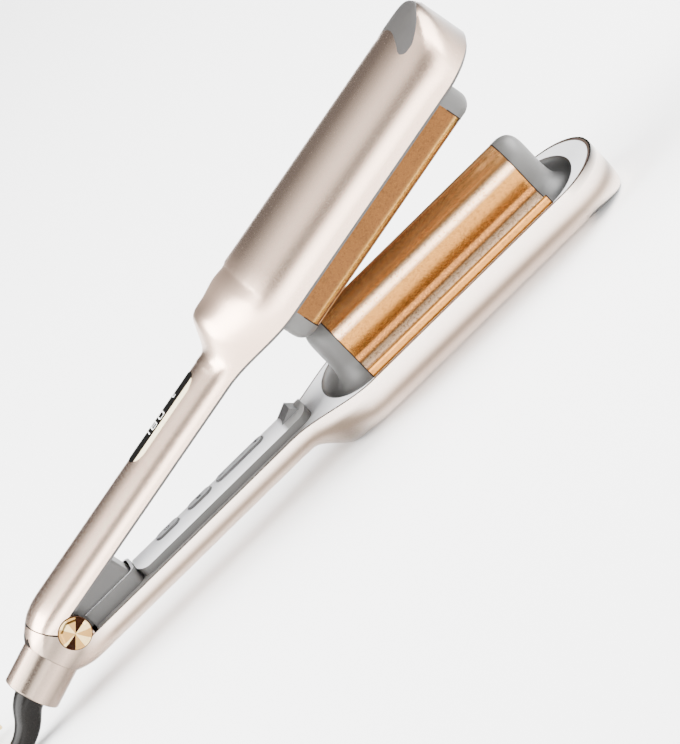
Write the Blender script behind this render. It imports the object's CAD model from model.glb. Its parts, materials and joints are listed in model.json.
import bmesh
import bpy
import json
import math
import numpy as np
from mathutils import Matrix, Vector

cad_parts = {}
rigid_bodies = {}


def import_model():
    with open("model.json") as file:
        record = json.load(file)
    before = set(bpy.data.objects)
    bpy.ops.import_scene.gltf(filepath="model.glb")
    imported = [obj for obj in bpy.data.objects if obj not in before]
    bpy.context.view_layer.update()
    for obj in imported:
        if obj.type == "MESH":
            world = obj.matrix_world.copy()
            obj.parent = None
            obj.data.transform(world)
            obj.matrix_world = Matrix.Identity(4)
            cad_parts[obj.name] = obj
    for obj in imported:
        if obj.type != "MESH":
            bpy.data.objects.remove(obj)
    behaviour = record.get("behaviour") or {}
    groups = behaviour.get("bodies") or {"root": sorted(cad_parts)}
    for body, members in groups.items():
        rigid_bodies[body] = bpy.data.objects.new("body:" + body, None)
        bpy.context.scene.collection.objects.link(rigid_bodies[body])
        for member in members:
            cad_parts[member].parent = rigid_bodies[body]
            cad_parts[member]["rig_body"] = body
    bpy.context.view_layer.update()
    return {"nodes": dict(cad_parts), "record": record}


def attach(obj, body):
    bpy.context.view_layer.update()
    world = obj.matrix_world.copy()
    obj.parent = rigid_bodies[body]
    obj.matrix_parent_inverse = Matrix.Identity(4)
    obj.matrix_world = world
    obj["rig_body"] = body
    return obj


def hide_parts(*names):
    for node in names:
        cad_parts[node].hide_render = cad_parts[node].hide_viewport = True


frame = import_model()
nodes = frame["nodes"]
scene = bpy.context.scene
print("frame loaded:", len(nodes), "nodes")

camera = {
    "target": (-0.0632, -0.016, 0.03024),
    "distance": 1.7528,
    "height": 17.0,  # degrees above the horizon
    "roll": 44.38,  # degrees, so that the tool points to the upper right
    "lens": 200.0,
    "sensor": 36.0,
    "clip": (0.05, 20.0),
}


def setCamera(wanted):
    tilt, roll = math.radians(wanted["height"]), math.radians(wanted["roll"])
    back = Vector((0, -math.cos(tilt), math.sin(tilt)))
    upright = Vector((0, math.sin(tilt), math.cos(tilt)))
    level = Vector((1, 0, 0))
    right = level * math.cos(roll) - upright * math.sin(roll)
    up = level * math.sin(roll) + upright * math.cos(roll)
    data = bpy.data.cameras.new("camera")
    data.lens, data.sensor_width = wanted["lens"], wanted["sensor"]
    data.clip_start, data.clip_end = wanted["clip"]
    eye = bpy.data.objects.new("camera", data)
    scene.collection.objects.link(eye)
    turn = Matrix((right, up, back)).transposed()
    place = Vector(wanted["target"]) + back * wanted["distance"]
    eye.matrix_world = Matrix.Translation(place) @ turn.to_4x4()
    scene.camera = eye


setCamera(camera)

# The arms are worked out in millimetres, with the hinge pin at 0 and the jaws closed.
# A piece is set down in metres when it is made.
hinge = {"x": -0.221, "z": 0.0294, "open": 11.5}

# The cord's route: x and y in millimetres from the hinge, then the height above the table
cordSizes = {
    "diameter": 0.007,
    "run": [
        (-60.54, 0.0, 4.1), (-79.0, 0.0, 4.1), (-97.0, -6.5, 3.8), (-115.0, -18.0, 3.6), (-133.5, -28.5, 3.6),
        (-153.5, -33.3, 3.6),
    ],
    "end": [
        (-164.0, 52.2, 18.0), (-152.0, 54.0, 17.4), (-139.5, 55.5, 14.6), (-127.0, 56.0, 10.2),
        (-114.5, 53.9, 7.6), (-103.0, 50.0, 7.6),
    ],
    "coilX": -156.0,
    "coilY": 12.0,
    "turns": 6.477,
    "perTurn": 24,
    "firstAngle": -86.8,
    "spread": 1.006,
    "radii": [(0.84, 45.5), (1.0, 38.5), (1.84, 38.5), (2.0, 31.5), (3.54, 31.5), (3.70, 38.5), (4.54, 38.5),
              (4.70, 45.5), (5.66, 45.5), (6.0, 41.0)],
    "heights": [(2.60, 3.6), (2.84, 10.6), (5.38, 10.6), (5.66, 17.6), (6.3, 18.0)],
    "length": 1.76,
    "order": 3, "alongSteps": 6, "aroundSteps": 8,
}


def stepped(turn, stops):
    # level outside the stops; between two, t * t * (3 - 2 * t) of the way at a share t of the gap
    places, values = [s[0] for s in stops], [s[1] for s in stops]
    for a, b, low, high in zip(places, places[1:], values, values[1:]):
        if turn < b:
            t = min(max((turn - a) / (b - a), 0.0), 1.0)
            return low + (high - low) * t * t * (3 - 2 * t)
    return values[-1]


def coilPoints(sizes):
    # points evenly round the coil's middle, clockwise, whose radius and height step from layer to layer
    count = round(sizes["turns"] * sizes["perTurn"])
    points = []
    for i in range(1, count):
        turn = i / sizes["perTurn"]
        angle = math.radians(sizes["firstAngle"] - 360 * turn)
        radius = stepped(turn, sizes["radii"]) * sizes["spread"]
        points.append((sizes["coilX"] + radius * math.cos(angle), sizes["coilY"] + radius * math.sin(angle),
                       stepped(turn, sizes["heights"])))
    return points


def rowPoint(x, y, height):
    # millimetres from the hinge, and over the table, to the row's metres
    return (x / 1000 + hinge["x"], y / 1000, height / 1000)


def makeCord(sizes):
    # a round section carried along a smooth curve through the run, the coil and the end
    points = sizes["run"] + coilPoints(sizes) + sizes["end"]
    curve = bpy.data.curves.new("power_lead", "CURVE")
    curve.dimensions = "3D"
    curve.bevel_depth = sizes["diameter"] / 2
    curve.bevel_resolution = sizes["aroundSteps"]
    curve.resolution_u = sizes["alongSteps"]
    curve.use_fill_caps = True
    spline = curve.splines.new("NURBS")
    spline.points.add(len(points) - 1)
    for place, point in zip(points, spline.points):
        point.co = (*rowPoint(*place), 1)
    spline.order_u = sizes["order"]
    spline.use_endpoint_u = True
    lead = bpy.data.objects.new("power_lead", curve)
    scene.collection.objects.link(lead)
    return lead


powerLead = makeCord(cordSizes)
print("camera and cord made")


class Value:  # one shader socket, so that shader maths reads as plain expressions
    def __init__(self, finish, socket):
        self.finish, self.socket = finish, socket

    def __add__(self, other):
        return self.finish.maths("ADD", self, other)

    def __radd__(self, other):
        return self.finish.maths("ADD", other, self)

    def __sub__(self, other):
        return self.finish.maths("SUBTRACT", self, other)

    def __rsub__(self, other):
        return self.finish.maths("SUBTRACT", other, self)

    def __mul__(self, other):
        return self.finish.maths("MULTIPLY", self, other)

    def __rmul__(self, other):
        return self.finish.maths("MULTIPLY", other, self)

    def __truediv__(self, other):
        return self.finish.maths("DIVIDE", self, other)

    def __rtruediv__(self, other):
        return self.finish.maths("DIVIDE", other, self)

    def __pow__(self, other):
        return self.finish.maths("POWER", self, other)

    def __rpow__(self, other):
        return self.finish.maths("POWER", other, self)

    def __gt__(self, other):
        return self.finish.maths("GREATER_THAN", self, other)

    def __lt__(self, other):
        return self.finish.maths("LESS_THAN", self, other)


usualNoise = (0.3, 0.7)  # most of a noise lies between these

# What the plastics share: slow clouds and fine specks, in metres
plastics = {
    "cloud": 0.018, "speck": 0.00025, "detail": 3.0, "speckEnds": (0.35, 0.75), "speckShare": 0.25,
    "strength": 0.25, "depth": 0.00002, "gloss": 0.5,
}


class Finish:  # the nodes of one material, or of the world
    def __init__(self, owner, shader="Principled BSDF"):
        self.owner = owner
        owner.use_nodes = True
        self.tree = owner.node_tree
        self.shader = self.tree.nodes[shader]

    def add(self, kind, settings=None, sockets=None, out=0):
        node = self.tree.nodes.new(kind)
        for key, value in (settings or {}).items():
            if key == "stops":
                ramp = node.color_ramp
                ramp.elements.remove(ramp.elements[1])
                ramp.elements[0].position, ramp.elements[0].color = value[0]
                for place, colour in value[1:]:
                    ramp.elements.new(place).color = colour
            elif key == "steps":
                node.color_ramp.interpolation = value
            else:
                setattr(node, key, value)
        for key, value in (sockets or {}).items():
            self.feed(node.inputs[key], value)
        return Value(self, node.outputs[out])

    def feed(self, socket, value):
        if isinstance(value, Value):
            self.tree.links.new(value.socket, socket)
        elif socket.type == "VECTOR" and isinstance(value, (int, float)):
            socket.default_value = (value, value, value)
        else:
            socket.default_value = value

    def maths(self, operation, *values):
        coloured = any(isinstance(v, Value) and v.socket.type in ("VECTOR", "RGBA") for v in values)
        kind = "ShaderNodeVectorMath" if coloured else "ShaderNodeMath"
        return self.add(kind, {"operation": operation}, dict(enumerate(values)))

    def spot(self):
        return self.add("ShaderNodeTexCoord", out="Object")

    def axis(self, spot, letter):
        return self.add("ShaderNodeSeparateXYZ", None, {"Vector": spot}, out=letter)

    def noise(self, size, spot=None, detail=2.0, roughness=0.5):
        return self.add("ShaderNodeTexNoise", None, {"Vector": spot or self.spot(), "Scale": 1 / size,
                                                     "Detail": detail, "Roughness": roughness})

    def grains(self, size):
        sockets = {"Vector": self.spot(), "Scale": 1 / size}
        cells = self.add("ShaderNodeTexVoronoi", None, sockets, out="Color")
        return self.add("ShaderNodeSeparateColor", None, {"Color": cells})

    def span(self, value, low, high, toLow=0.0, toHigh=1.0):
        ends = {"Value": value, "From Min": low, "From Max": high, "To Min": toLow, "To Max": toHigh}
        return self.add("ShaderNodeMapRange", {"clamp": True}, ends)

    def ramp(self, value, stops, steps="LINEAR"):
        return self.add("ShaderNodeValToRGB", {"stops": stops, "steps": steps}, {"Fac": value})

    def blend(self, factor, first, second):
        return self.add("ShaderNodeMix", {"data_type": "RGBA"}, {0: factor, 6: first, 7: second}, out=2)

    def tinge(self, share, colour, tone):
        return self.blend(share, colour, tint(*tone))

    def clouded(self, size, tones, detail=2.0, ends=usualNoise):
        first, second = tones
        return self.tinge(self.span(self.noise(size, detail=detail), *ends), tint(*first), second)

    def bump(self, height, strength, distance):
        sockets = {"Height": height, "Strength": strength, "Distance": distance}
        return self.add("ShaderNodeBump", None, sockets)

    def wear(self, **sockets):
        for name, value in sockets.items():
            self.feed(self.shader.inputs[name.replace("_", " ")], value)
        return self

    def speck(self, spot=None, roughness=0.5):
        return self.noise(plastics["speck"], spot, plastics["detail"], roughness)

    def specked(self, speck, colour, tone, share=plastics["speckShare"]):
        return self.tinge(self.span(speck, *plastics["speckEnds"]) * share, colour, tone)

    def grained(self, colour, speck, rough, strength=plastics["strength"], depth=plastics["depth"],
                gloss=plastics["gloss"]):
        # the same specks roughen the gloss and the surface
        return self.wear(Base_Color=colour, Roughness=self.span(speck, *usualNoise, *rough),
                         Normal=self.bump(speck, strength, depth), Specular_IOR_Level=gloss)


def tint(red, green, blue):
    # a colour as it is seen, 0 to 255, made linear by the curve of screens
    return tuple(c / 12.92 if c <= 0.04045 else ((c + 0.055) / 1.055) ** 2.4
                 for c in (v / 255 for v in (red, green, blue))) + (1.0,)


def newFinish(name):
    return Finish(bpy.data.materials.new(name))


def bell(away):
    # e to the minus square of a distance counted in widths: 1 in the middle, near 0 two widths away
    return math.e ** (0.0 - away * away)


def circleThrough(a, b, c):
    # centre and radius of the circle through three points: the centre is as far from each of them
    a, b, c = (np.array(p, float) for p in (a, b, c))
    centre = np.linalg.solve(2 * np.stack((b - a, c - a)), [b @ b - a @ a, c @ c - a @ a])
    return centre, np.linalg.norm(a - centre)


# Casing paint: its grain, and deeper tones placed by x along the row and z over the table, in metres
casing = {
    "cloud": 0.03, "cloudDetail": 1.0, "cloudTones": ((221, 190, 169), (225, 195, 174)),
    "flake": 0.00022, "flakeShare": 0.05, "flakeTone": (244, 224, 208), "rough": (0.23, 0.28),
    "lowerX": (-0.224, -0.208), "lowerZ": (0.0242, 0.0236),  # where the lower casing's tones come in
    "flankX": (-0.088, -0.064), "flankZ": (0.0171, 0.0113),  # the flank's deep line drops towards the head
    "widthX": (-0.094, -0.077), "width": (0.0024, 0.0034),  # and grows wider
    "flankShare": 0.9, "flankTone": (112, 100, 89),
    "paleShare": 0.85, "paleTone": (246, 232, 221),  # the rest of the lower casing
    "shoulderX": -0.078, "shoulderWidth": 0.012, "shoulderZ": (0.0195, 0.0165),
    "shoulderShare": 0.93, "shoulderTone": (100, 87, 75),
    "browX": (0.058, 0.076), "browZ": (0.0192, 0.0228),  # darker under the rim at the tip
    "browPower": 0.6, "browShare": 0.985, "browTone": (18, 14, 12),
    "bulgeX": -0.077, "bulgeWidth": 0.015, "bulgeZ": 0.035, "bulgeRough": 0.14,  # the upper shoulder's gloss
}

# The dark seam behind the hinge discs, an arc through three points in millimetres from the hinge pin
seamArc = {
    "foot": (-6.05, 4.3), "middle": (-9.95, 8.7), "head": (-13.45, 13.9), "half": 0.45, "front": -5.9,
    "tone": (10, 7, 6),
}

# The tail's tones across its tilted axis, in millimetres from the axis, and how dark each is
tail = {
    "tilt": math.radians(17.0), "radius": 12.7,
    "shades": [(-12.0, 0.5), (-6.5, 0.94), (-2.0, 0.6), (3.5, 0.92), (8.5, 0.92), (10.5, 0.7), (12.2, 0.25)],
    "slope": (9.6, 7.4), "limit": -26.26,  # the seam's side: x and z times the slope add to under the limit
    "fade": (14.0, -4.0), "tone": (98, 88, 79),
}


def casingPaint():
    # metal paint: slow clouds, fine flakes, deeper tones on the lower casing and the tail, and the dark seam
    paint = newFinish("champagne_paint")
    spot = paint.spot()
    x, z = paint.axis(spot, "X"), paint.axis(spot, "Z")
    flake = paint.grains(casing["flake"])
    colour = paint.clouded(casing["cloud"], casing["cloudTones"], detail=casing["cloudDetail"])
    colour = paint.tinge(flake * casing["flakeShare"], colour, casing["flakeTone"])
    away = z - paint.span(x, *casing["flankX"], *casing["flankZ"])
    flank = bell(away / paint.span(x, *casing["widthX"], *casing["width"]))
    shoulder = bell((x - casing["shoulderX"]) / casing["shoulderWidth"]) * paint.span(z, *casing["shoulderZ"])
    lower = paint.span(x, *casing["lowerX"]) * paint.span(z, *casing["lowerZ"])
    colour = paint.tinge(lower * (1.0 - flank) * casing["paleShare"], colour, casing["paleTone"])
    colour = paint.tinge(lower * flank * casing["flankShare"], colour, casing["flankTone"])
    colour = paint.tinge(lower * shoulder * casing["shoulderShare"], colour, casing["shoulderTone"])

    fromPinX, fromPinZ = x - hinge["x"], z - hinge["z"]
    across = fromPinZ * math.cos(tail["tilt"]) - fromPinX * math.sin(tail["tilt"])
    shades = [((q / tail["radius"] + 1) / 2, (dark, dark, dark, 1)) for q, dark in tail["shades"]]
    shade = paint.ramp(paint.span(across, -tail["radius"] / 1000, tail["radius"] / 1000), shades)
    seamSide = fromPinX * tail["slope"][0] + fromPinZ * tail["slope"][1] < tail["limit"] / 1000
    rear = paint.span(x, *(hinge["x"] + end / 1000 for end in tail["fade"]))
    rear = rear * paint.maths("MAXIMUM", seamSide, z < hinge["z"] + seamArc["foot"][1] / 1000)
    colour = paint.tinge(shade * rear, colour, tail["tone"])

    brow = paint.span(z, *casing["browZ"]) * paint.span(x, *casing["browX"])
    colour = paint.tinge(brow ** casing["browPower"] * casing["browShare"], colour, casing["browTone"])
    centre, radius = circleThrough(seamArc["foot"], seamArc["middle"], seamArc["head"])
    fromX = x - (hinge["x"] + centre[0] / 1000)
    fromZ = z - (hinge["z"] + centre[1] / 1000)
    off = paint.maths("ABSOLUTE", (fromX * fromX + fromZ * fromZ) ** 0.5 - radius / 1000)
    behind = x < hinge["x"] + seamArc["front"] / 1000
    colour = paint.tinge((off < seamArc["half"] / 1000) * behind * (z > hinge["z"]), colour, seamArc["tone"])
    bulge = bell((x - casing["bulgeX"]) / casing["bulgeWidth"]) * (z > casing["bulgeZ"])
    return paint.wear(Base_Color=colour, Metallic=1.0,
                      Roughness=paint.span(flake, 0, 1, *casing["rough"]) + bulge * casing["bulgeRough"])


# The inner covers, with the darker ledge beside the control panel and the panel's dark front end
cover = {
    "cloudTones": ((204, 204, 206), (209, 209, 211)), "speckTone": (182, 182, 184), "speckShare": 0.2,
    "ledgeX": (-0.092, -0.074), "ledgeZ": 0.0236, "ledgeTone": (97, 94, 91),
    "noseRear": (-0.0975, -0.0955), "noseFront": (-0.083, -0.082), "noseZ": (0.024, 0.032),
    "noseTone": (104, 103, 101), "rough": (0.34, 0.44), "strength": 0.2,
}


def coverPlastic():
    plastic = newFinish("cover_grey")
    spot = plastic.spot()
    speck = plastic.speck(spot)
    x, z = plastic.axis(spot, "X"), plastic.axis(spot, "Z")
    ledge = plastic.span(x, *cover["ledgeX"], 1.0, 0.0) * (z < cover["ledgeZ"])
    nose = plastic.span(x, *cover["noseRear"]) * plastic.span(x, *cover["noseFront"], 1.0, 0.0)
    nose = nose * (z > cover["noseZ"][0]) * (z < cover["noseZ"][1])
    colour = plastic.clouded(plastics["cloud"], cover["cloudTones"])
    colour = plastic.specked(speck, colour, cover["speckTone"], cover["speckShare"])
    colour = plastic.tinge(ledge, colour, cover["ledgeTone"])
    colour = plastic.tinge(nose, colour, cover["noseTone"])
    return plastic.grained(colour, speck, cover["rough"], cover["strength"])


# Plain moulded plastic: how its specks darken the first colour and vary the roughness
moulded = {"harsh": 0.6, "darken": 0.88, "spread": 0.06}


def mouldedPlastic(name, first, second, rough, depth=plastics["depth"], gloss=plastics["gloss"]):
    # slow clouds between two colours and a fine eroded grain
    plastic = newFinish(name)
    speck = plastic.speck(roughness=moulded["harsh"])
    colour = plastic.clouded(plastics["cloud"], (first, second))
    colour = plastic.specked(speck, colour, [v * moulded["darken"] for v in first])
    ends = (rough - moulded["spread"], rough + moulded["spread"])
    return plastic.grained(colour, speck, ends, depth=depth, gloss=gloss)


# The copper ceramic's grains, in metres, and how they change the plain colour
copper = {
    "flake": 0.00034, "large": 0.0007, "cloud": 0.02,
    "brightEnds": (0.55, 1.0), "brightShare": 0.3, "brighten": 1.35, "brightest": 250,
    "darkEnds": (0.0, 0.35), "darkShare": 0.5, "darken": 0.66,
    "metallic": 0.84, "rough": (0.13, 0.2), "strength": 0.06, "depth": 0.00003,
}

# The lower plate's tones by height from the hinge pin, in millimetres; past the lip the colour is plain
copperTones = {
    "low": -12.0, "high": 24.0, "lip": 32.55, "strength": 0.9,
    "tones": [(-9.0, (168, 114, 56)), (-7.0, (250, 214, 174)), (-4.6, (250, 214, 174)), (-3.6, (98, 60, 26)),
              (-0.6, (104, 64, 27)), (1.4, (164, 111, 49)), (9.2, (164, 111, 49)), (10.5, (226, 190, 154)),
              (14.0, (226, 190, 154)), (15.0, (176, 120, 66)), (17.0, (212, 152, 92))],
}

# The bright line along each upper barrel: its distance from the arm's middle, in metres
copperGleam = {"away": 0.0303, "half": 0.0007, "tone": (240, 186, 96)}


def plateCoating(name, first, second, gleam=None, tones=None):
    # bright and dark grains in clouds of two coppers
    coating = newFinish(name)
    flake, large = coating.grains(copper["flake"]), coating.grains(copper["large"])
    spot = coating.spot()
    fromMiddle = coating.maths("ABSOLUTE", coating.axis(spot, "Y"))
    colour = coating.clouded(copper["cloud"], (first, second))
    if tones:
        height = coating.axis(spot, "Z") - hinge["z"]
        height = coating.span(height, tones["low"] / 1000, tones["high"] / 1000)
        whole = tones["high"] - tones["low"]
        stops = [((z - tones["low"]) / whole, tint(*tone)) for z, tone in tones["tones"]]
        within = fromMiddle < tones["lip"] / 1000
        colour = coating.blend(within * tones["strength"], colour, coating.ramp(height, stops))
    if gleam:
        colour = coating.tinge(bell((fromMiddle - gleam["away"]) / gleam["half"]), colour, gleam["tone"])
    bright = coating.span(flake, *copper["brightEnds"]) * copper["brightShare"]
    dark = coating.span(large, *copper["darkEnds"], 1.0, 0.0) * copper["darkShare"]
    colour = coating.tinge(bright, colour, [min(v * copper["brighten"], copper["brightest"]) for v in second])
    colour = coating.tinge(dark, colour, [v * copper["darken"] for v in first])
    return coating.wear(Base_Color=colour, Metallic=copper["metallic"],
                        Roughness=coating.span(flake, 0, 1, *copper["rough"]),
                        Normal=coating.bump(large + flake, copper["strength"], copper["depth"]))


drawn = {
    "lines": 0.0004, "detail": 3.0, "stain": 0.01, "stainEnds": (0.35, 0.7), "smoother": 0.05,
    "rougher": 0.07, "strength": 0.05, "depth": 0.00002,
}


def drawnMetal(name, first, second, rough):
    # slow stains between two colours, fine lines in the gloss
    metal = newFinish(name)
    lines = metal.noise(drawn["lines"], detail=drawn["detail"])
    gloss = metal.span(lines, *usualNoise, rough - drawn["smoother"], rough + drawn["rougher"])
    colour = metal.clouded(drawn["stain"], (first, second), ends=drawn["stainEnds"])
    return metal.wear(Base_Color=colour, Metallic=1.0, Roughness=gloss,
                      Normal=metal.bump(lines, drawn["strength"], drawn["depth"]))


# The hinge discs' wedges: where each starts, from 0 to 1 once round from straight back, and its tone
disc = {
    "tones": {"gold": (152, 116, 66), "pale": (204, 176, 124), "dark": (24, 9, 5)},
    "wedges": [(0.0, "pale"), (0.03, "dark"), (0.127, "gold"), (0.23, "pale"), (0.33, "gold"), (0.43, "pale"),
               (0.53, "dark"), (0.627, "gold"), (0.73, "pale"), (0.83, "gold"), (0.93, "gold")],
    "smear": 0.0009, "smearDetail": 3.0, "smearEnds": (0.4, 0.8), "smearShare": 0.02, "rough": (0.14, 0.24),
}


def discMetal():
    # the colour goes round the hinge pin in wedges, by the angle of z over x
    metal = newFinish("wedged_rose_gold")
    spot = metal.spot()
    x = metal.axis(spot, "X") - hinge["x"]
    z = metal.axis(spot, "Z") - hinge["z"]
    turn = metal.maths("ARCTAN2", z, x) * (0.5 / math.pi) + 0.5
    wedges = [(start, tint(*disc["tones"][tone])) for start, tone in disc["wedges"]]
    smear = metal.noise(disc["smear"], detail=disc["smearDetail"])
    smears = metal.span(smear, *disc["smearEnds"]) * disc["smearShare"]
    colour = metal.tinge(smears, metal.ramp(turn, wedges, steps="CONSTANT"), disc["tones"]["gold"])
    return metal.wear(Base_Color=colour, Metallic=1.0,
                      Roughness=metal.span(smear, *usualNoise, *disc["rough"]))


# The end caps, darker in the bowl under the tip's dome
capSizes = {
    "cloudTones": ((62, 61, 59), (68, 67, 65)), "speckTone": (54, 53, 52), "rough": (0.44, 0.56),
    "bowlX": (0.050, 0.056), "bowlZ": (0.0295, 0.0235), "bowlShare": 0.95, "bowlTone": (14, 14, 13),
}


def capPlastic():
    plastic = newFinish("cap_grey")
    spot = plastic.spot()
    speck = plastic.speck(spot, moulded["harsh"])
    bowl = plastic.span(plastic.axis(spot, "Z"), *capSizes["bowlZ"])
    bowl = bowl * plastic.span(plastic.axis(spot, "X"), *capSizes["bowlX"])
    colour = plastic.clouded(plastics["cloud"], capSizes["cloudTones"])
    colour = plastic.tinge(bowl * capSizes["bowlShare"], colour, capSizes["bowlTone"])
    colour = plastic.specked(speck, colour, capSizes["speckTone"])
    return plastic.grained(colour, speck, capSizes["rough"])


# The buttons, darker at the foot than on top
button = {
    "footZ": (0.02905, 0.02945), "footTone": (48, 47, 48), "topTones": ((146, 146, 148), (140, 140, 143)),
    "rough": (0.34, 0.44), "strength": 0.2,
}


def buttonPlastic():
    plastic = newFinish("button_grey")
    spot = plastic.spot()
    speck = plastic.speck(spot)
    height = plastic.span(plastic.axis(spot, "Z"), *button["footZ"])
    first, second = button["topTones"]
    top = plastic.specked(speck, tint(*first), second, share=1.0)
    colour = plastic.blend(height, tint(*button["footTone"]), top)
    return plastic.grained(colour, speck, button["rough"], button["strength"])


cordLook = {
    "cloud": 0.012, "cloudTones": ((9, 7, 5), (12, 10, 8)), "speck": 0.0003, "speckEnds": (0.4, 0.8),
    "speckShare": 0.3, "speckTone": (8, 7, 6), "rough": (0.24, 0.32), "strength": 0.06, "depth": 0.00003,
    "gloss": 0.1,
}


def cordSkin():
    skin = newFinish("cord_skin")
    speck = skin.noise(cordLook["speck"], detail=plastics["detail"])
    colour = skin.clouded(cordLook["cloud"], cordLook["cloudTones"])
    specks = skin.span(speck, *cordLook["speckEnds"]) * cordLook["speckShare"]
    colour = skin.tinge(specks, colour, cordLook["speckTone"])
    return skin.grained(colour, speck, cordLook["rough"], cordLook["strength"], cordLook["depth"],
                        cordLook["gloss"])


glassLook = {
    "haze": 0.004, "hazeEnds": (0.3, 0.8), "tones": ((10, 9, 8), (15, 14, 13)), "rough": (0.12, 0.2),
    "gloss": 0.06,
}


def glossGlass():
    # black glass with a slow haze in its colour and its gloss
    glass = newFinish("black_glass")
    haze = glass.span(glass.noise(glassLook["haze"]), *glassLook["hazeEnds"])
    first, second = glassLook["tones"]
    return glass.wear(Base_Color=glass.tinge(haze, tint(*first), second),
                      Roughness=glass.span(haze, 0, 1, *glassLook["rough"]),
                      Specular_IOR_Level=glassLook["gloss"])


finishes = {  # by the record's material slot
    "casing_paint": casingPaint(),
    "cover_paint": coverPlastic(),
    "heat_coating": plateCoating("copper_ceramic", (164, 108, 46), (170, 114, 51), tones=copperTones),
    "grey_resin": capPlastic(),
    "pad_resin": mouldedPlastic("pad_grey", (50, 48, 47), (56, 54, 52), 0.45),
    "dark_resin": mouldedPlastic("tongue_grey", (44, 42, 40), (49, 47, 45), 0.45),
    "button_paint": buttonPlastic(),
    "rose_gold": discMetal(),
    "steel": drawnMetal("bright_steel", (176, 177, 180), (160, 162, 165), 0.28),
    "acetal": mouldedPlastic("acetal_white", (226, 226, 220), (232, 232, 226), 0.4),
    "circuit_board": mouldedPlastic("board_green", (24, 84, 46), (30, 96, 54), 0.35),
    "switch_resin": mouldedPlastic("switch_black", (22, 22, 23), (30, 30, 31), 0.5),
    "heater_ceramic": mouldedPlastic("heater_white", (228, 226, 220), (236, 234, 228), 0.7),
    "bezel_gloss": mouldedPlastic("bezel_ivory", (224, 211, 174), (228, 215, 180), 0.16, depth=0.000003),
    "black_glass": glossGlass(),
    "cord_rubber": cordSkin(),
    "wire_insulation": mouldedPlastic("wire_red", (150, 30, 26), (164, 36, 30), 0.4),
    "blade_brass": drawnMetal("blade_brass", (214, 186, 120), (200, 170, 104), 0.22),
}
sideCopper = plateCoating("side_copper", (86, 54, 22), (92, 58, 25), gleam=copperGleam)
buttonSide = mouldedPlastic("button_side_grey", (56, 55, 55), (61, 60, 60), 0.45, gloss=0.25)
coverSide = mouldedPlastic("cover_side_grey", (44, 43, 41), (50, 48, 46), 0.45)
finGrey = mouldedPlastic("fin_grey", (46, 45, 44), (51, 50, 49), 0.42)
gapBrown = mouldedPlastic("gap_brown", (26, 19, 15), (31, 23, 19), 0.6, gloss=0.04)
rimBrown = mouldedPlastic("rim_brown", (58, 47, 41), (64, 53, 46), 0.5, gloss=0.1)
ringBronze = drawnMetal("ring_bronze", (52, 33, 23), (46, 28, 19), 0.3)
digitWhite = mouldedPlastic("digit_white", (246, 246, 244), (250, 250, 249), 0.4)
markGrey = mouldedPlastic("mark_grey", (44, 44, 46), (49, 49, 51), 0.5, gloss=0.1)
nodeSlots = {part["node"]: part["material_slot"] for part in frame["record"]["subparts"]}


def dress(piece, *worn):
    piece.data.materials.clear()
    for finish in worn:
        piece.data.materials.append(finish.owner)
    return piece


for name, node in nodes.items():
    dress(node, finishes[nodeSlots[name]])
print("materials made")


def setDown(points):
    # the lower arm's millimetres to the row's metres: over 1000 and moved to the hinge pin
    return (points + (0.0, 0.0, hinge["z"] * 1000)) / 1000 + (hinge["x"], 0.0, 0.0)


def swungUp(points):
    # the same for the upper arm, first turned about the hinge pin to the open stop
    x, y, z = np.moveaxis(points, -1, 0)
    turn = math.radians(hinge["open"])
    return setDown(np.stack((x * math.cos(turn) - z * math.sin(turn), y,
                             x * math.sin(turn) + z * math.cos(turn)), -1))


placings = {  # by body
    "lower_arm": setDown, "upper_arm": swungUp, "power_button": setDown, "mode_button": setDown,
    "temperature_rocker": setDown,
}
doubled = 1e-6  # metres under which two points are one


def soften(data, angle, outward=True):
    # merges doubled points and shades softly where faces meet gently
    work = bmesh.new()
    work.from_mesh(data)
    bmesh.ops.remove_doubles(work, verts=work.verts, dist=doubled)
    if outward:
        bmesh.ops.recalc_face_normals(work, faces=work.faces)
    for edge in work.edges:
        edge.smooth = len(edge.link_faces) == 2 and edge.calc_face_angle(0.0) < math.radians(angle)
    for face in work.faces:
        face.smooth = True
    work.to_mesh(data)
    work.free()


def makePiece(name, shapes, body, finish, stands=(), angle=30.0):
    # shapes are pairs of points, an array of millimetres, and faces; together they become one piece
    points, faces, start = [], [], 0
    for shapePoints, shapeFaces in shapes:
        points.append(shapePoints.reshape(-1, 3))
        faces += [[corner + start for corner in face] for face in shapeFaces]
        start += len(points[-1])
    data = bpy.data.meshes.new(name)
    data.from_pydata(placings[body](np.concatenate(points)).tolist(), [], faces)
    soften(data, angle)
    piece = bpy.data.objects.new(name, data)
    scene.collection.objects.link(piece)
    dress(piece, finish)
    if stands:
        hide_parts(*stands)
    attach(piece, body)
    return piece


def carried(rings, closed=False):
    # faces over rings of points, ring after ring, with flat ends unless the last ring meets the first
    count, around = rings.shape[:2]
    i, j = np.meshgrid(np.arange(count if closed else count - 1), np.arange(around), indexing="ij")
    after, beside = (i + 1) % count, (j + 1) % around
    faces = np.stack((i * around + j, after * around + j, after * around + beside, i * around + beside), -1)
    faces = faces.reshape(-1, 4).tolist()
    if not closed:
        faces += [list(range(around)), list(range((count - 1) * around, count * around))]
    return rings, faces


def gridFaces(rows, columns):
    # faces over a grid of points: each has the corners here, a row on, a row and a column on, and a column on
    i, j = np.meshgrid(np.arange(rows - 1), np.arange(columns - 1), indexing="ij")
    here, beyond = i * columns + j, (i + 1) * columns + j
    return np.stack((here, beyond, beyond + 1, here + 1), -1).reshape(-1, 4)


def bar(profile, start, end):
    # a closed profile of y and z carried straight along x
    profile = np.asarray(profile)
    return carried(np.stack([np.column_stack((np.full(len(profile), x), profile)) for x in (start, end)]))


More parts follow.
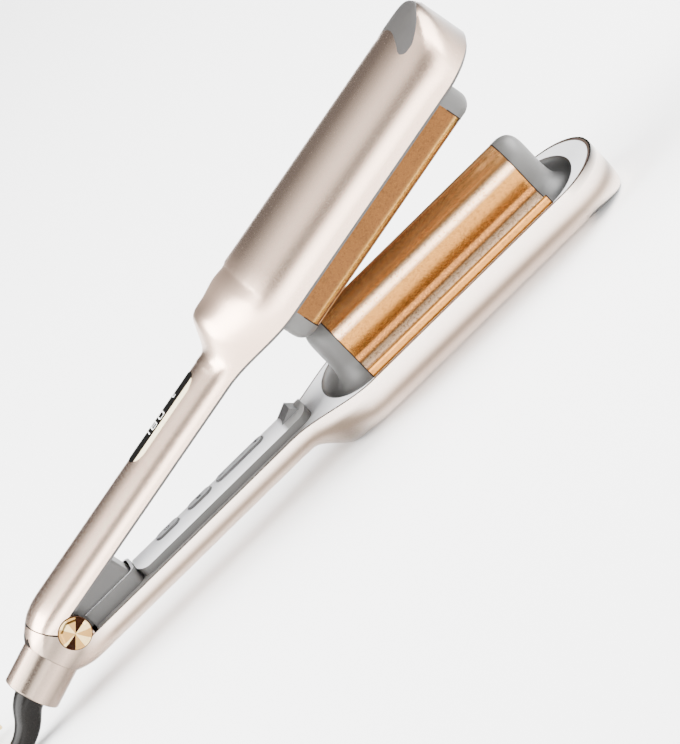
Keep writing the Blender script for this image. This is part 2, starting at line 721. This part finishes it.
def strip(path, width, height, closed=False):
    # a ribbon with a box section carried along a level path: half its width to each side, its height above
    path = np.asarray(path, float)
    if closed:
        along = np.roll(path, -1, 0) - np.roll(path, 1, 0)
    else:
        along = np.gradient(path, axis=0)
    side = np.stack((-along[:, 1], along[:, 0], 0 * along[:, 0]), -1)
    side *= 0.5 * np.reshape(width, (-1, 1)) / np.linalg.norm(side, axis=1, keepdims=True)
    rise = np.array((0.0, 0.0, height))
    return carried(np.stack((path - side, path + side, path + side + rise, path - side + rise), 1), closed)


def arc(centre, radius, start, end, steps):
    # points on a circle from one angle to another: the centre and the radius times cosine and sine
    turn = np.radians(np.linspace(start, end, steps + 1))
    return np.column_stack((centre[0] + radius * np.cos(turn), centre[1] + radius * np.sin(turn)))


def hull(profile, out, deep):
    # a closed ribbon along an open profile: one side lies out along its normal, the other lies deep under it
    along = np.gradient(profile, axis=0)
    normal = np.column_stack((along[:, 1], -along[:, 0])) / np.linalg.norm(along, axis=1, keepdims=True)
    return np.concatenate((profile + normal * out, (profile - normal * deep)[::-1]))


# Casings, covers and other solids, shown as merged copies with soft shading
casingGap = {
    "centre": 6.3, "rear": 9.0,  # the height of a casing's middle and the seam's end, from the hinge pin
    "inward": -0.2, "steep": 0.7,  # how far a normal leans in, and back
}
sideSlope = 0.35  # a wall's normal rises less than this
edgeSlope = 0.88  # and a rounded edge's less than this


def smoothCopy(name, *worn, angle=28.0, choose=None):
    # the solid's own faces with doubled points merged; choose tells which of them wear the second finish
    data = nodes[name].data.copy()
    piece = bpy.data.objects.new(name + "_skin", data)
    scene.collection.objects.link(piece)
    soften(data, angle, outward=False)
    dress(piece, *worn)
    if choose:
        count = len(data.polygons)
        normals, centres = np.empty(3 * count), np.empty(3 * count)
        data.polygons.foreach_get("normal", normals)
        data.polygons.foreach_get("center", centres)
        chosen = choose(normals.reshape(-1, 3), centres.reshape(-1, 3))
        data.polygons.foreach_set("material_index", chosen.astype(int))
    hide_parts(name)
    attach(piece, nodes[name]["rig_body"])
    return piece


def unswung(vectors, turn):
    # vectors turned back about the hinge pin
    x, y, z = vectors.T
    return np.column_stack((x * math.cos(turn) + z * math.sin(turn), y,
                            -x * math.sin(turn) + z * math.cos(turn)))


def insideOf(side):
    # a casing's faces that look inwards, and the steep ones of the seam behind the hinge discs: a face looks
    # inwards where its normal points against the line from the section's centre to it
    def choose(normals, centres):
        turn = math.radians(hinge["open"]) if side > 0 else 0.0
        place = unswung(centres * 1000 - (hinge["x"] * 1000, 0, hinge["z"] * 1000), turn)
        way = unswung(normals, turn)
        outward = way[:, 1] * place[:, 1] + way[:, 2] * (place[:, 2] - side * casingGap["centre"])
        outward /= np.hypot(place[:, 1], place[:, 2]) + 1e-6  # never nothing
        seam = (place[:, 0] < casingGap["rear"]) & (np.abs(way[:, 0]) > casingGap["steep"])
        return (outward < casingGap["inward"]) | seam
    return choose


def sideWalls(normals, centres):
    # faces whose normals lie nearly level
    return np.abs(normals[:, 2]) < sideSlope


def roundedEdge(normals, centres):
    # all faces but the level ones
    return np.abs(normals[:, 2]) < edgeSlope


for name, side in (("lower_shell", -1), ("upper_shell", 1)):
    smoothCopy(name, finishes["casing_paint"], gapBrown, choose=insideOf(side))
for name in ("lower_inner_cover", "upper_inner_cover"):
    smoothCopy(name, finishes["cover_paint"], coverSide, choose=sideWalls)
smoothCopy("upper_heat_plate", sideCopper)
for name in ("power_button", "mode_button", "temperature_rocker"):
    smoothCopy(name, finishes["button_paint"], buttonSide, choose=roundedEdge)
for name in ("hinge_tongue", "strain_relief", "swivel_collar", "lower_tip_pad", "upper_tip_pad",
             "upper_rear_cap_left", "upper_rear_cap_right", "upper_tip_cap_left", "upper_tip_cap_right"):
    smoothCopy(name, finishes[nodeSlots[name]])
smoothCopy("finger_guard", finGrey)
print("casings dressed")

# The lower heating plate: the middle barrel, a groove on each side, and lips that bulge outwards
plate = {
    "rear": 166.6, "front": 271.6,
    "barrelRadius": 12.05, "barrelHeight": 9.0,
    "grooveY": 22.9, "grooveZ": 0.85, "grooveRadius": 10.85,
    "lip": 32.6, "lipTop": -1.6, "lipFoot": -6.25, "bulge": 0.8,
    "foot": 32.2, "low": -11.6,
    "slot": [(-10.2, -11.6), (-10.2, 9.0), (-8.0, 14.5), (8.0, 14.5), (10.2, 9.0), (10.2, -11.6)],
    "sideBarrel": 9.65,
    "band": 0.5, "bandOut": 0.12, "bandDeep": 0.5,  # dark bands between the plates and their caps
    "lipSteps": 14, "grooveSteps": 36, "barrelSteps": 32, "sideSteps": 48,
}


def plateOutline(sizes):
    # the right half is an ellipse for the lip, a circle for the groove and a circle for the barrel, from the
    # lip's foot to the barrel's top; the left half is the same mirrored
    middle = (sizes["lipTop"] + sizes["lipFoot"]) / 2
    half = (sizes["lipTop"] - sizes["lipFoot"]) / 2
    turn = np.radians(np.linspace(-90, 90, sizes["lipSteps"] + 1))
    lip = np.column_stack((sizes["lip"] + sizes["bulge"] * np.cos(turn), middle + half * np.sin(turn)))
    inner = math.degrees(math.acos((sizes["lip"] - sizes["grooveY"]) / sizes["grooveRadius"]))
    grooveMiddle = (sizes["grooveY"], sizes["grooveZ"])
    groove = arc(grooveMiddle, sizes["grooveRadius"], -inner, -180, sizes["grooveSteps"])
    barrel = arc((0.0, sizes["barrelHeight"]), sizes["barrelRadius"], 0, 90, sizes["barrelSteps"])
    right = np.concatenate((lip, groove, barrel))
    return np.concatenate((right, (right * (-1, 1))[::-1][1:]))


outline = plateOutline(plate)
foot = [(plate["foot"], plate["low"]), (plate["foot"], plate["lipFoot"])]
profile = np.concatenate((foot, outline, np.array(foot)[::-1] * (-1, 1), plate["slot"]))
makePiece("lower_plate_skin", [bar(profile, plate["rear"], plate["front"])], "lower_arm",
          finishes["heat_coating"], stands=["lower_heat_plate"], angle=24.0)


def bands(edge, ways):
    # the edge's ribbon, as wide as a band, at the plate's rear and front
    half, ends = plate["band"] / 2, (plate["rear"], plate["front"])
    return [bar(edge * (way, 1), end - half, end + half) for end in ends for way in ways]


bandEdge = hull(outline, plate["bandOut"], plate["bandDeep"])
makePiece("lower_plate_bands", bands(bandEdge, (1,)), "lower_arm", gapBrown)
sideArc = arc((plate["grooveY"], plate["grooveZ"]), plate["sideBarrel"], -180, 0, plate["sideSteps"])
sideEdge = hull(sideArc, plate["bandOut"], plate["bandDeep"])
makePiece("upper_plate_bands", bands(sideEdge, (1, -1)), "upper_arm", gapBrown)


def thicken(piece, thick):
    # a wall of this thickness, in metres, under the piece's surface
    shell = piece.modifiers.new("shell", "SOLIDIFY")
    shell.thickness, shell.offset = thick, -1.0


# Saddles: each end of the middle barrel runs down through a bowl to the recess's edge
saddle = {
    "radius": 12.05, "top": 21.05, "shoulder": 9.0, "foot": 0.85, "floor": -9.96, "edge": -6.3,
    "recessLong": 19.6, "recessWide": 32.3,
    "square": 1.4,  # how much squarer the dome is along the arm than across it
    "thick": 0.0005,
    "roundSteps": 72, "quarterSteps": 24, "wallSteps": 5,
    # the cap that each stands for, where its plate ends, which way it looks and how far its dome reaches
    "ends": [("lower_tip_cap", 271.63, 1, 10.2), ("lower_rear_cap", 166.57, -1, 10.0)],
}


def makeSaddle(sizes, stands, end, way, flat):
    # round the plate's end, a line runs out from the dome's top to the recess's edge: a quarter of a rounded
    # square, a straight wall, a quarter ellipse down to the bowl's floor and one up to the edge; the wall and
    # the edge are ellipses in the angle round the end
    turn = np.radians(np.linspace(-90, 90, sizes["roundSteps"] + 1))[:, None]
    inner = ((np.cos(turn) / flat) ** 2 + (np.sin(turn) / sizes["radius"]) ** 2) ** -0.5
    outer = ((np.cos(turn) / sizes["recessLong"]) ** 2 + (np.sin(turn) / sizes["recessWide"]) ** 2) ** -0.5
    middle = (inner + outer) / 2
    power = 2 / (2 + sizes["square"] * np.cos(turn) ** 2)
    quarter = np.radians(np.linspace(0, 90, sizes["quarterSteps"] + 1))[None, :]
    wall = np.linspace(sizes["shoulder"], sizes["foot"], sizes["wallSteps"] + 1)[None, 1:-1]
    lift = sizes["top"] - sizes["shoulder"]
    reach = [inner * np.sin(quarter) ** power, inner + 0 * wall,
             middle - (middle - inner) * np.cos(quarter), middle + (outer - middle) * np.sin(quarter[:, 1:])]
    depth = [sizes["shoulder"] + lift * np.cos(quarter) ** power, wall + 0 * turn,
             sizes["foot"] - (sizes["foot"] - sizes["floor"]) * np.sin(quarter) + 0 * turn,
             sizes["edge"] - (sizes["edge"] - sizes["floor"]) * np.cos(quarter[:, 1:]) + 0 * turn]
    reach, depth = np.concatenate(reach, 1), np.concatenate(depth, 1)
    points = np.stack((end + way * reach * np.cos(turn), reach * np.sin(turn), depth), -1)
    faces = gridFaces(*points.shape[:2])[:, ::way].tolist()
    piece = makePiece(stands + "_saddle", [(points, faces)], "lower_arm", finishes["grey_resin"],
                      stands=[stands], angle=60.0)
    thicken(piece, sizes["thick"])


for ending in saddle["ends"]:
    makeSaddle(saddle, *ending)
print("plates and saddles made")

# Dark line between the lower casing and its inner cover
rimLine = {
    "height": -6.28, "rise": 0.07, "inset": 1.45, "rear": 10.0, "width": 0.4,
    "handle": 15.5, "head": 35.0, "flare": (123.0, 165.0), "tipStart": 277.0, "tipLength": 26.0,
    "tipWidth": 1.1, "tipGrowth": 12.0,  # the line grows to this width over this length
    "handlePoints": 12, "flarePoints": 22, "headPoints": 8, "tipPoints": 61,
}


def rimPath(sizes):
    # half the width goes from handle to head over the flare by t * t * (3 - 2 * t), and the tip is half an
    # ellipse; the path runs up one side, round the tip and back
    flare, tipStart = sizes["flare"], sizes["tipStart"]
    x = np.concatenate((np.linspace(sizes["rear"], flare[0], sizes["handlePoints"]),
                        np.linspace(*flare, sizes["flarePoints"])[1:],
                        np.linspace(flare[1], tipStart, sizes["headPoints"])[1:]))
    t = np.clip((x - flare[0]) / (flare[1] - flare[0]), 0, 1)
    half = sizes["handle"] + (sizes["head"] - sizes["handle"]) * t * t * (3 - 2 * t) - sizes["inset"]
    turn = np.radians(np.linspace(-90, 90, sizes["tipPoints"]))[1:-1]
    tipX = tipStart + (sizes["tipLength"] - sizes["inset"]) * np.cos(turn)
    tipY = (sizes["head"] - sizes["inset"]) * np.sin(turn)
    path = np.column_stack((np.concatenate((x, tipX, x[::-1])), np.concatenate((-half, tipY, half[::-1]))))
    swell = np.clip((path[:, 0] - tipStart) / sizes["tipGrowth"], 0, 1)
    width = sizes["width"] + (sizes["tipWidth"] - sizes["width"]) * swell
    return np.column_stack((path, np.full(len(path), sizes["height"]))), width


path, width = rimPath(rimLine)
makePiece("rim_line", [strip(path, width, rimLine["rise"])], "lower_arm", rimBrown)

# Bronze rings round the hinge discs
discRing = {"radius": 7.32, "thick": 0.24, "out": 15.5, "steps": 96, "tubeSteps": 16}


def ringShape(sizes, side):
    # a torus about the hinge pin: a circle of the ring's thickness carried round a circle of its radius
    around = np.radians(np.linspace(0, 360, sizes["steps"] + 1))[:-1, None]
    tube = np.radians(np.linspace(0, 360, sizes["tubeSteps"] + 1))[None, :-1]
    reach = sizes["radius"] + sizes["thick"] * np.cos(tube)
    beside = side * sizes["out"] + sizes["thick"] * np.sin(tube) + 0 * around
    return carried(np.stack((reach * np.cos(around), beside, reach * np.sin(around)), -1), closed=True)


for side, word in ((-1, "right"), (1, "left")):
    makePiece(f"disc_ring_{word}", [ringShape(discRing, side)], "lower_arm", ringBronze)

# Digits on the display, made of bars, and marks on the buttons
display = {
    "middle": 95.5, "straight": 15.35, "round": 7.8, "glass": 4.6, "thick": 0.0004,
    "start": 84.0, "step": 5.4, "wide": 3.1, "high": 5.4, "bar": 0.5, "rise": 0.03, "proud": 0.27,
    "half": 15.5, "depth": 12.6, "power": 2.2, "rim": 6.3,  # the casing's section under the display
    "across": 33, "along": 41,  # points over a patch
    "shown": ["bc", "abcdefg", "abcdef", "", "adef"],  # the bars of each digit
    "small": (0.0, 0.0, 0.0, 0.0, 0.45),  # how much smaller than the others
    "barEnds": (0.06, 0.94), "barPoints": 5,
}
barPlaces = {  # ends of each bar, from 0 to 1 along and across a digit
    "a": (0, 1, 1, 1), "b": (1, 0.5, 1, 1), "c": (1, 0, 1, 0.5), "d": (0, 0, 1, 0), "e": (0, 0, 0, 0.5),
    "f": (0, 0.5, 0, 1), "g": (0, 0.5, 1, 0.5),
}


def displayHeight(y, sizes):
    # the casing's section, a superellipse: y and the height over the rim, each to the power, add up to one
    bow = (1 - np.abs(y / sizes["half"]) ** sizes["power"]) ** (1 / sizes["power"])
    return sizes["rim"] + sizes["proud"] + sizes["depth"] * bow


def displayPatch(sizes, start, end):
    # the part of a stadium between two distances from its middle line, laid on the casing's section
    y = np.linspace(start, end, sizes["across"])[:, None]
    long = sizes["straight"] + np.sqrt(np.maximum(sizes["round"] ** 2 - y**2, 0))
    x = sizes["middle"] + long * np.linspace(-1, 1, sizes["along"])[None, :]
    points = np.stack((x, y + 0 * x, displayHeight(y, sizes) + 0 * x - sizes["rise"] / 2), -1)
    return points, gridFaces(*x.shape)[:, ::-1].tolist()


def makeDisplay(name, patches, stands):
    piece = makePiece(name, patches, "upper_arm", finishes[nodeSlots[stands]], stands=[stands],
                      angle=60.0)
    thicken(piece, display["thick"])


makeDisplay("display_glass", [displayPatch(display, -display["glass"], display["glass"])], "display_window")
makeDisplay("display_sides", [displayPatch(display, -display["round"], -display["glass"]),
                              displayPatch(display, display["glass"], display["round"])], "display_bezel")


def digitBars(sizes):
    # each bar is a short ribbon over the display, from one corner of its digit's box to another
    shapes = []
    for place, (letters, less) in enumerate(zip(sizes["shown"], sizes["small"])):
        wide, high = sizes["wide"] * (1 - less), sizes["high"] * (1 - less)
        for letter in letters:
            x0, y0, x1, y1 = barPlaces[letter]
            t = np.linspace(*sizes["barEnds"], sizes["barPoints"])
            x = sizes["start"] + place * sizes["step"] + wide * (x0 + (x1 - x0) * t)
            y = high * (y0 + (y1 - y0) * t - 0.5) + sizes["high"] * less / 2
            path = np.column_stack((x, y, displayHeight(y, sizes)))
            shapes.append(strip(path, sizes["bar"], sizes["rise"]))
    return shapes


makePiece("display_digits", digitBars(display), "upper_arm", digitWhite)

mark = {
    "height": 0.31, "rise": 0.03, "bar": 0.5,
    "power": 58.2, "ring": 1.25, "gap": 35.0, "ringSteps": 28, "stem": (0.2, 1.0, 1.8),
    "mode": 77.2, "rows": (-0.9, 0.0, 0.9), "arm": 1.2,
    "rocker": 101.1, "reach": 10.2, "crossing": 1.3,  # the plus's second bar lies this much higher
}


def line(places, higher=1.0):
    # a ribbon over a button's top through places of x and y
    path = np.array([(x, y, mark["height"]) for x, y in places])
    return strip(path, mark["bar"], mark["rise"] * higher)


ring = arc((mark["power"], 0.0), mark["ring"], 90 + mark["gap"], 450 - mark["gap"], mark["ringSteps"])
stem = line([(mark["power"], y) for y in mark["stem"]])
makePiece("power_mark", [line(ring), stem], "power_button", markGrey)
armSteps = np.linspace(-mark["arm"], mark["arm"], 3)
makePiece("mode_mark", [line([(mark["mode"] + step, y) for step in armSteps]) for y in mark["rows"]],
          "mode_button", markGrey)
rearEnd, frontEnd = mark["rocker"] - mark["reach"], mark["rocker"] + mark["reach"]
minusAndPlus = [line([(end + step, 0.0) for step in armSteps]) for end in (rearEnd, frontEnd)]
minusAndPlus.append(line([(frontEnd, step) for step in armSteps], mark["crossing"]))
makePiece("rocker_marks", minusAndPlus, "temperature_rocker", markGrey)
print("small pieces made")

dress(powerLead, finishes["cord_rubber"])
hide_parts("power_cord", "cord_coil", "cord_end")
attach(powerLead, "lower_arm")
rowPoint(*cordSizes["run"][0])
print("cord declared")

# A soft room of long strips beside the tool, dim and bright by turns, and two boxes at its ends that light
# the floor
studio = {
    "brightest": 11.0,
    "ends": 6.0, "endPower": 4,  # the brightness at the tool's ends and how narrow the ends are
    "strips": [  # angle over the tool from the front horizon, then the brightness
        (-180, 1.5), (-90, 1.5), (-12, 8.0), (-2, 11.0), (16, 11.0), (23, 5.0), (29, 1.0), (34, 0.35),
        (49, 0.3), (58, 0.8), (74, 1.8), (94, 2.2), (110, 1.8), (125, 1.0), (140, 0.55), (150, 0.3),
        (160, 0.1), (172, 0.1), (180, 0.2),
    ],
    "boxes": [
        # name, place, aimed at, length and width, power
        ("left_box", (-1.6, -0.1, 1.1), (-0.05, 0, 0.02), (1.8, 1.8), 190.0),
        ("right_box", (1.6, 0.1, 1.1), (0.0, 0, 0.02), (1.8, 1.8), 190.0),
    ],
}


def makeStudio(sizes):
    # the strips go by the angle about the tool's length, and the ends by x to a power
    world = bpy.data.worlds.new("studio")
    room = Finish(world, shader="Background")
    way = room.add("ShaderNodeTexCoord", out="Generated")
    turn = room.maths("ARCTAN2", room.axis(way, "Z"), 0.0 - room.axis(way, "Y")) * (0.5 / math.pi) + 0.5
    stops = [((angle + 180) / 360, (b / sizes["brightest"],) * 3 + (1,)) for angle, b in sizes["strips"]]
    strips = room.ramp(turn, stops)
    end = room.axis(way, "X") ** sizes["endPower"]
    grey = sizes["ends"] / sizes["brightest"]
    room.wear(Color=room.blend(end, strips, (grey, grey, grey, 1)), Strength=sizes["brightest"])
    scene.world = world
    for name, place, aim, size, power in sizes["boxes"]:
        data = bpy.data.lights.new(name, "AREA")
        data.shape, data.size, data.size_y, data.energy = "RECTANGLE", size[0], size[1], power
        lamp = bpy.data.objects.new(name, data)
        lamp.location = place
        lamp.rotation_mode = "QUATERNION"
        lamp.rotation_quaternion = (Vector(aim) - Vector(place)).to_track_quat("-Z", "Y")
        scene.collection.objects.link(lamp)


makeStudio(studio)

ground = {"reach": 8.0, "colour": (0.92, 0.92, 0.92, 1), "rough": 0.9}
floorData = bpy.data.meshes.new("floor")
corners = [(x * ground["reach"], y * ground["reach"], 0) for x, y in ((-1, -1), (1, -1), (1, 1), (-1, 1))]
floorData.from_pydata(corners, [], [(0, 1, 2, 3)])
floor = bpy.data.objects.new("floor", floorData)
scene.collection.objects.link(floor)
dress(floor, newFinish("pale_floor").wear(Base_Color=ground["colour"], Roughness=ground["rough"]))
print("room and floor made")
